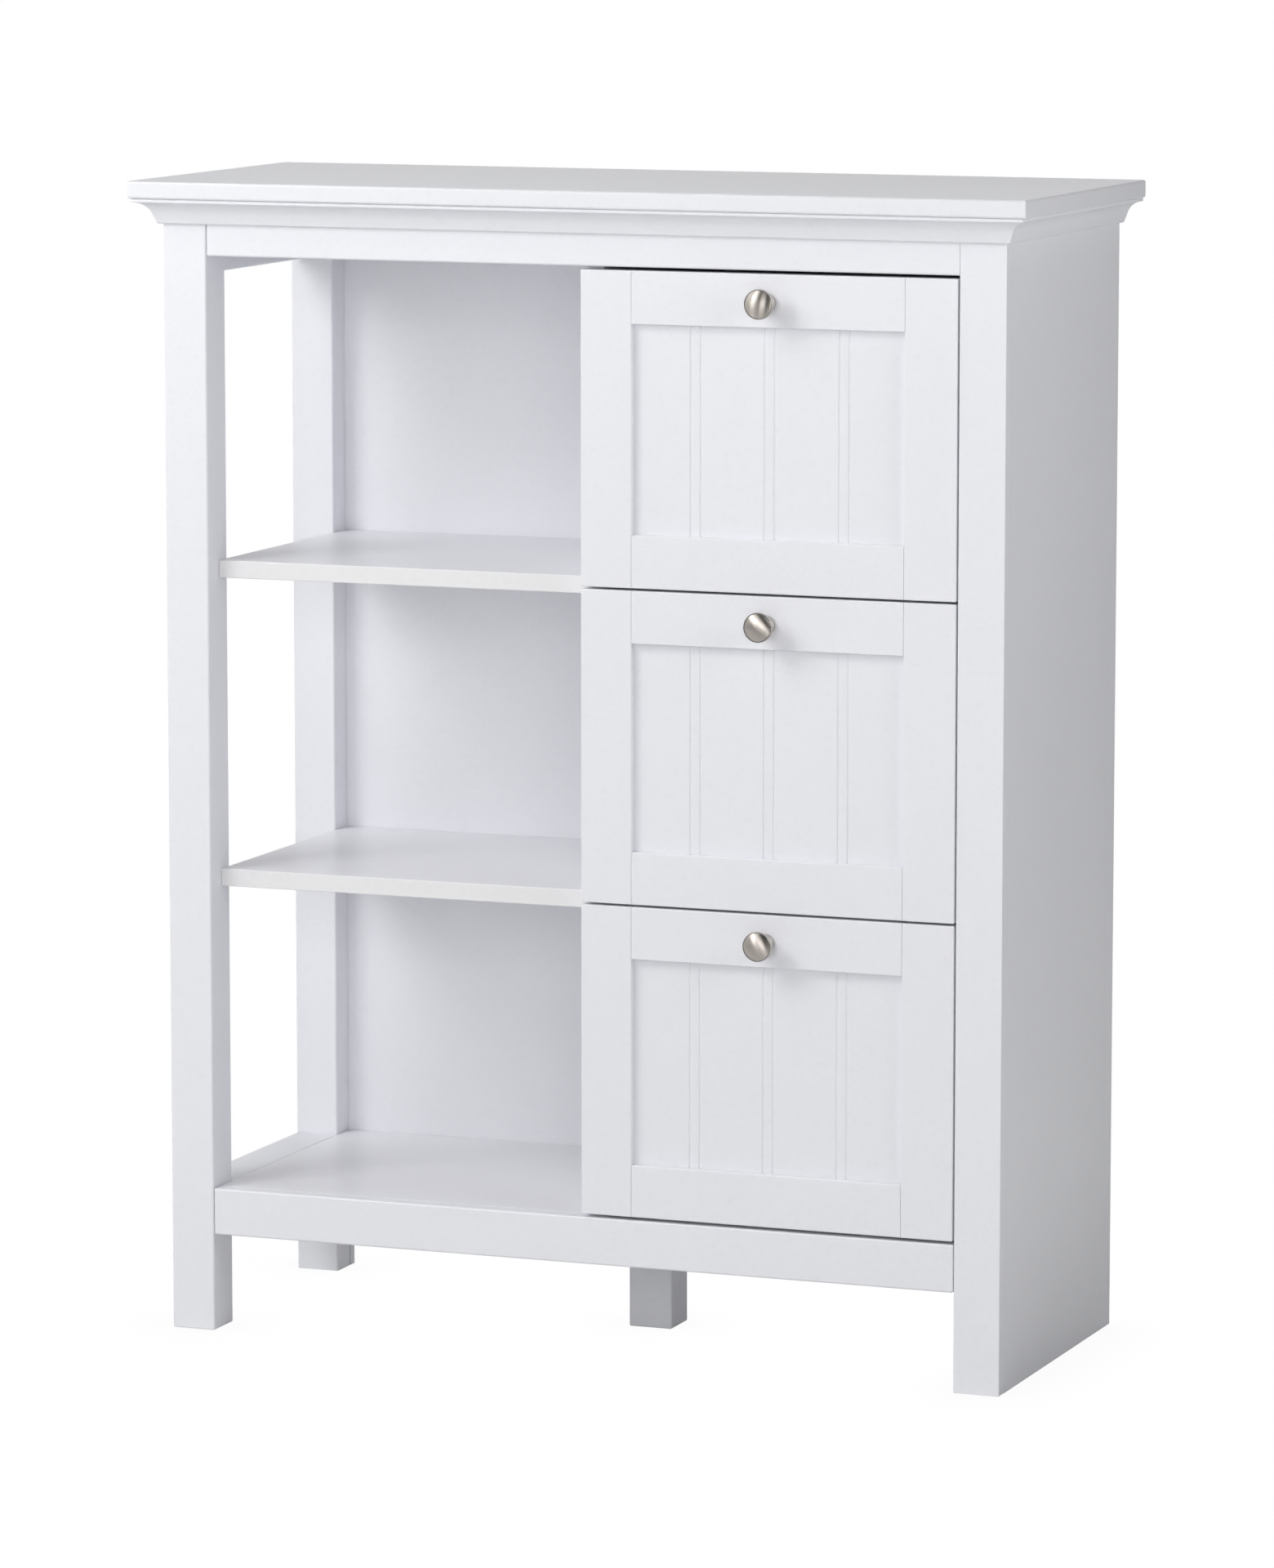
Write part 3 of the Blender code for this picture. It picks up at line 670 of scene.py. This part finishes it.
def make_cornice():
    """Three cove mouldings under the top board, mitred at the front corners."""
    left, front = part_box("post_front_left")[0].xy
    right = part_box("stile_front_right")[1].x
    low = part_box("cornice_front")[0]
    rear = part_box("cornice_left")[1].y
    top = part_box("top_board")[0].z - TIGHT_GAP
    profile = cornice_profile(front - low.y, low.z, top)
    mitre = GAP / 2
    moulding(
        "cornice_front",
        profile,
        lambda p, z: (left - p + mitre, front - p, z),
        lambda p, z: (right + p - mitre, front - p, z),
    )
    moulding(
        "cornice_left",
        profile,
        lambda p, z: (left - p, front - p + mitre, z),
        lambda p, z: (left - p, rear, z),
    )
    moulding(
        "cornice_right",
        profile,
        lambda p, z: (right + p, front - p + mitre, z),
        lambda p, z: (right + p, rear, z),
    )


def make_boards():
    """Top board, bottom, divider, shelves with banded front edges, and the back."""
    slab("top_board", "white_lacquer", TOP_EDGE)
    low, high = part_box("bottom_panel")
    low.x += SEAM_GAP
    slab("bottom_panel", "shelf_board", SEAM_EDGE, (low, high))
    slab("divider_panel", "white_lacquer", BOARD_EDGE)
    slab("back_panel", "back_board", SEAM_EDGE)
    for node in ("shelf_lower", "shelf_upper"):
        low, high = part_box(node)
        seam = low.y + BAND_THICKNESS
        core = (Vector((low.x, seam, low.z)), high)
        slab(node, "shelf_board", CORE_EDGE, core)
        make_edge_band(node, low, high, seam)


def make_edge_band(node, low, high, seam):
    """The strip that closes a shelf's front edge."""
    outline = [
        (low.y, low.z, BAND_EDGE),
        (seam, low.z),
        (seam, high.z),
        (low.y, high.z, BAND_EDGE),
    ]
    bm = bar(outline, "X", low.x, high.x, (SEAM_EDGE, SEAM_EDGE))
    add_board(f"{node}_edge_band", bm, "shelf_board", node, EDGE_BAND, replaces=False)


# ---------------------------------------------------------------- drawers


def make_front_stile(node, panel, outer, inner):
    """A stile of a drawer front; outer and inner are its edges' X."""
    low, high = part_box(node)
    panel_low, panel_high = panel
    groove_front = panel_low.y - GAP
    groove_rear = panel_high.y + GAP
    side = math.copysign(1.0, inner - outer)
    groove = (panel_low.x if side > 0 else panel_high.x) - side * GAP
    middle = (outer + inner) / 2
    outline = [
        (outer, low.y, FRONT_EDGE),
        (inner, low.y, SEAM_EDGE),
        (inner, groove_front),
        (groove, groove_front),
        (groove, groove_rear),
        (inner, groove_rear),
        (inner, high.y, SEAM_EDGE),
        (outer, high.y, BOARD_EDGE),
    ]

    def inner_side(u, v):
        return (u - middle) * side > 0

    end = FRONT_EDGE * END_SHARE
    bm = bar(outline, "Z", low.z, high.z, (end, end), inner_side)
    add_board(f"{node}_finished", bm, "drawer_front_lacquer", node)


def make_front_rail(node, panel, outer, inner):
    """A rail of a drawer front; outer and inner are its edges' Z."""
    low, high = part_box(node)
    panel_low, panel_high = panel
    groove_front = panel_low.y - GAP
    groove_rear = panel_high.y + GAP
    side = math.copysign(1.0, inner - outer)
    groove = (panel_low.z if side > 0 else panel_high.z) - side * GAP
    outline = [
        (low.y, outer, FRONT_EDGE),
        (low.y, inner, INNER_EDGE),
        (groove_front, inner),
        (groove_front, groove),
        (groove_rear, groove),
        (groove_rear, inner),
        (high.y, inner, SEAM_EDGE),
        (high.y, outer, BOARD_EDGE),
    ]
    bm = bar(outline, "X", low.x, high.x, (SEAM_EDGE, SEAM_EDGE))
    add_board(f"{node}_finished", bm, "drawer_front_lacquer", node)


def make_front_panel(node):
    """A panel with three pairs of narrow grooves in its face."""
    low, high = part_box(node)
    centre = (low.x + high.x) / 2
    outline = [(low.x, high.y), (low.x, low.y)]
    for pair in (-1, 0, 1):
        for side in (-1, 1):
            x = centre + pair * BEAD_SPACING + side * BEAD_HALF_GAP
            outline.append((x - BEAD_HALF_WIDTH, low.y, BEAD_LIP))
            outline.append((x, low.y + BEAD_DEPTH, BEAD_LIP))
            outline.append((x + BEAD_HALF_WIDTH, low.y, BEAD_LIP))
    outline += [(high.x, low.y), (high.x, high.y)]
    bm = bar(outline, "Z", low.z, high.z)
    add_board(f"{node}_finished", bm, "drawer_front_lacquer", node)


def make_box_side(drawer, hand, outward):
    """A box side with its runner groove outside and the bottom's slot inside."""
    node = f"drawer_{drawer}_side_{hand}"
    low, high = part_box(node)
    outer, inner = (low.x, high.x) if outward < 0 else (high.x, low.x)
    floor_low, floor_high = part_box(f"drawer_{drawer}_bottom")
    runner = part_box(f"runner_{drawer}_left")
    groove = outer - outward * RUNNER_SLOT_DEPTH
    slot = inner + outward * SLOT_DEPTH
    outline = [
        (outer, low.z, SEAM_EDGE),
        (inner, low.z, SEAM_EDGE),
        (inner, floor_low.z - GAP),
        (slot, floor_low.z - GAP),
        (slot, floor_high.z + GAP),
        (inner, floor_high.z + GAP),
        (inner, high.z, STILE_EDGE),
        (outer, high.z, STILE_EDGE),
        (outer, runner[1].z + GAP, SEAM_EDGE),
        (groove, runner[1].z + GAP),
        (groove, runner[0].z - RUNNER_PLAY),
        (outer, runner[0].z - RUNNER_PLAY, SEAM_EDGE),
    ]
    bm = bar(outline, "Y", low.y, high.y, (GAP, GAP))
    add_board(f"{node}_finished", bm, "drawer_box_board", node)


def knob_body(radius):
    """Profile of the knob's base, neck and rounded shoulder, closed behind the face."""
    points = [(0.0, 0.0), (KNOB_BASE - GAP, 0.0), (KNOB_BASE, GAP), (KNOB_BASE, KNOB_FLANGE)]
    flare = KNOB_SHOULDER - KNOB_LIP - KNOB_FLANGE
    for step in range(1, FLARE_STEPS):
        t = step / FLARE_STEPS
        neck = KNOB_NECK + (KNOB_BASE - KNOB_NECK) * (1 - t) ** KNOB_FLARE_POWER
        head = (radius - GAP - KNOB_NECK) * t**KNOB_HEAD_POWER
        points.append((neck + head, KNOB_FLANGE + flare * t))
    points.append((radius - GAP, KNOB_SHOULDER - KNOB_LIP))
    rim = KNOB_FACE_RADIUS + KNOB_GROOVE
    for step in range(SHOULDER_STEPS + 1):
        angle = math.pi / 2 * step / SHOULDER_STEPS
        back = (radius - rim) * (1 - math.cos(angle))
        points.append((radius - back, KNOB_SHOULDER + (KNOB_FACE - KNOB_SHOULDER) * math.sin(angle)))
    points.append((rim - KNOB_GROOVE / 2, KNOB_FACE - KNOB_GROOVE))
    points.append((0.0, KNOB_FACE - KNOB_GROOVE))
    return points


def knob_face(length):
    """Profile of the knob's domed face, set into the body."""
    rise = length - KNOB_FACE
    curve = (KNOB_FACE_RADIUS**2 + rise**2) / (2 * rise)
    opening = math.asin(KNOB_FACE_RADIUS / curve)
    points = [(0.0, KNOB_FACE - KNOB_GROOVE), (KNOB_FACE_RADIUS - GAP, KNOB_FACE - KNOB_GROOVE)]
    for step in range(DOME_STEPS):
        angle = opening * (1 - step / DOME_STEPS)
        points.append((curve * math.sin(angle), length - curve * (1 - math.cos(angle))))
    points.append((0.0, length))
    return points


def make_knob(drawer):
    """The knob on its rail: a polished body and a brushed face."""
    node = f"drawer_{drawer}_knob"
    low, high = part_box(node)
    centre = Vector(((low.x + high.x) / 2, high.y, (low.z + high.z) / 2))
    body = turned(knob_body((high.x - low.x) / 2), centre, KNOB_STEPS)
    add_piece(f"{node}_finished", body, "knob_nickel", node, POLISHED)
    face = turned(knob_face(high.y - low.y), centre, KNOB_STEPS)
    add_piece(f"{node}_face", face, "knob_nickel", node, KNOB_FINISHES[drawer], replaces=False)


def make_drawer(drawer):
    """One drawer: framed front, box, knob and screw."""
    panel_node = f"drawer_{drawer}_panel"
    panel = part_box(panel_node)
    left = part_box(f"drawer_{drawer}_stile_left")
    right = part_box(f"drawer_{drawer}_stile_right")
    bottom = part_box(f"drawer_{drawer}_rail_bottom")
    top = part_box(f"drawer_{drawer}_rail_top")
    make_front_stile(f"drawer_{drawer}_stile_left", panel, left[0].x, left[1].x)
    make_front_stile(f"drawer_{drawer}_stile_right", panel, right[1].x, right[0].x)
    make_front_rail(f"drawer_{drawer}_rail_bottom", panel, bottom[0].z, bottom[1].z)
    make_front_rail(f"drawer_{drawer}_rail_top", panel, top[1].z, top[0].z)
    make_front_panel(panel_node)
    make_box_side(drawer, "left", -1.0)
    make_box_side(drawer, "right", 1.0)
    slab(f"drawer_{drawer}_back", "drawer_box_board", BOARD_EDGE)
    slab(f"drawer_{drawer}_bottom", "drawer_box_board", SEAM_EDGE)
    make_knob(drawer)
    refinish(f"drawer_{drawer}_knob_screw", "screw_zinc")


def refinish(node, finish):
    """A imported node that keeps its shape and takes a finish."""
    piece = frame["nodes"][node]
    piece.data.materials.clear()
    piece.data.materials.append(FINISHES[finish])


def make_runners(drawer):
    """The strip on the divider and the rebated batten on the side panel."""
    slab(f"runner_{drawer}_left", "runner_beech", WOOD_EDGE)
    refinish(f"runner_{drawer}_right", "runner_beech")


# ---------------------------------------------------------------- floor, light and camera


FLOOR_SIZE = 400.0
FLOOR_GREY = 0.8
# The floor's glow where its painted contact shade is darkest, and how far from the feet that painted
# shade reaches
PAINTED_SHADE_GLOW = 0.93
PAINTED_SHADE_REACH = 0.10
AMBIENT = 0.01
# Each soft box: its place, what it is aimed at, its width, height and power in watts
LIGHTS = {
    "high_left": ((-1.5, -2.6, 3.8), (0.0, 0.0, 0.7), 2.0, 2.0, 33.9),
    "near_left": ((-1.5, -2.0, 2.2), (0.0, 0.0, 0.9), 1.2, 1.2, 21.7),
    "front": ((1.6, -6.0, 1.6), (0.0, 0.0, 0.6), 3.0, 2.4, 95.2),
    "front_middle": ((-0.8, -2.4, 1.35), (0.0, 0.0, 0.9), 1.2, 1.0, 3.7),
    "left": ((-4.0, 0.0, 1.6), (0.0, 0.0, 0.6), 2.6, 2.4, 16.4),
    "left_high": ((-2.0, -0.8, 2.4), (-0.4, 0.1, 0.9), 1.2, 1.2, 9.4),
    "left_middle": ((-2.2, -1.6, 1.2), (0.0, 0.0, 0.9), 1.2, 1.2, 2.6),
    "right_near": ((1.8, -0.6, 1.4), (0.45, 0.0, 1.0), 1.0, 1.0, 10.8),
    "right_bounce": ((1.7, 0.0, 0.02), (1.7, 0.0, 1.0), 2.0, 2.4, 4.0),
    "rear": ((-1.5, 6.0, 1.6), (0.0, 0.0, 0.8), 8.0, 3.0, 47.3),
    "rear_low": ((0.0, 1.0, 0.12), (-0.35, 0.1, 0.05), 0.7, 0.2, 1.6),
    "rear_high": ((-0.5, 3.0, 3.6), (0.0, 0.0, 0.8), 3.0, 2.0, 50.6),
}
CAMERA_TARGET = Vector((0.00736, 0.15, 0.57155))
CAMERA_AZIMUTH = 21.17
CAMERA_ELEVATION = 7.97
CAMERA_DISTANCE = 7.2988
CAMERA_LENS = 164.01
CLIP_END = 400.0


def make_floor():
    """A very large pale floor. The camera sees it glowing white, dimmed under the feet by a faint
    painted contact shade taken from ambient occlusion; all other rays see it as plain grey.
    """
    level = CAD_BOX[0].z
    half = FLOOR_SIZE / 2
    corners = [(-half, -half, level), (half, -half, level), (half, half, level), (-half, half, level)]
    mesh = bpy.data.meshes.new("floor")
    mesh.from_pydata(corners, [], [(0, 1, 2, 3)])
    floor = bpy.data.objects.new("floor", mesh)
    bpy.context.scene.collection.objects.link(floor)
    material, nodes, links, shader = new_material("pale_floor")
    shader.inputs["Base Color"].default_value = (FLOOR_GREY, FLOOR_GREY, FLOOR_GREY, 1.0)
    shader.inputs["Roughness"].default_value = 1.0
    shader.inputs["Specular IOR Level"].default_value = 0.0
    # Painted contact shade: ambient occlusion dims the glow that the camera sees near the feet
    contact = nodes.new("ShaderNodeAmbientOcclusion")
    contact.inputs["Distance"].default_value = PAINTED_SHADE_REACH
    glow = nodes.new("ShaderNodeEmission")
    painted_contact_shade = remap(nodes, links, contact.outputs["AO"], PAINTED_SHADE_GLOW, 1.0, (0.0, 1.0))
    links.new(painted_contact_shade, glow.inputs["Strength"])
    seen = nodes.new("ShaderNodeLightPath")
    mix = nodes.new("ShaderNodeMixShader")
    links.new(seen.outputs["Is Camera Ray"], mix.inputs["Fac"])
    links.new(shader.outputs["BSDF"], mix.inputs[1])
    links.new(glow.outputs["Emission"], mix.inputs[2])
    links.new(mix.outputs["Shader"], nodes["Material Output"].inputs["Surface"])
    mesh.materials.append(material)


def make_world():
    """White behind the object; a softer ambient light on it."""
    world = bpy.data.worlds.new("studio")
    bpy.context.scene.world = world
    world.use_nodes = True
    nodes, links = world.node_tree.nodes, world.node_tree.links
    ambient = nodes["Background"]
    ambient.inputs["Strength"].default_value = AMBIENT
    ambient.inputs["Color"].default_value = (1.0, 1.0, 1.0, 1.0)
    white = nodes.new("ShaderNodeBackground")
    white.inputs["Color"].default_value = (1.0, 1.0, 1.0, 1.0)
    seen = nodes.new("ShaderNodeLightPath")
    mix = nodes.new("ShaderNodeMixShader")
    links.new(seen.outputs["Is Camera Ray"], mix.inputs["Fac"])
    links.new(ambient.outputs["Background"], mix.inputs[1])
    links.new(white.outputs["Background"], mix.inputs[2])
    links.new(mix.outputs["Shader"], nodes["World Output"].inputs["Surface"])


def make_lights():
    """Large soft boxes."""
    for name, (place, aim, width, height, power) in LIGHTS.items():
        data = bpy.data.lights.new(name, "AREA")
        data.shape = "RECTANGLE"
        data.size = width
        data.size_y = height
        data.energy = power
        light = bpy.data.objects.new(name, data)
        light.location = place
        light.rotation_euler = (Vector(aim) - Vector(place)).to_track_quat("-Z", "Y").to_euler()
        bpy.context.scene.collection.objects.link(light)


def make_camera():
    """A long lens at the photograph's angle."""
    data = bpy.data.cameras.new("camera")
    data.lens = CAMERA_LENS
    data.clip_end = CLIP_END
    camera = bpy.data.objects.new("camera", data)
    azimuth = math.radians(CAMERA_AZIMUTH)
    elevation = math.radians(CAMERA_ELEVATION)
    back = Vector(
        (
            math.sin(azimuth) * math.cos(elevation),
            -math.cos(azimuth) * math.cos(elevation),
            math.sin(elevation),
        )
    )
    face = Vector((0.0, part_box("post_front_left")[0].y, CAD_BOX[0].z))
    target = face + CAMERA_TARGET
    camera.location = target + back * CAMERA_DISTANCE
    camera.rotation_euler = (-back).to_track_quat("-Z", "Y").to_euler()
    bpy.context.scene.collection.objects.link(camera)
    bpy.context.scene.camera = camera


make_frame()
make_cornice()
make_boards()
for drawer_name in DRAWERS:
    make_runners(drawer_name)
    make_drawer(drawer_name)
make_floor()
make_world()
make_lights()
make_camera()
bpy.context.scene.view_settings.view_transform = "Standard"
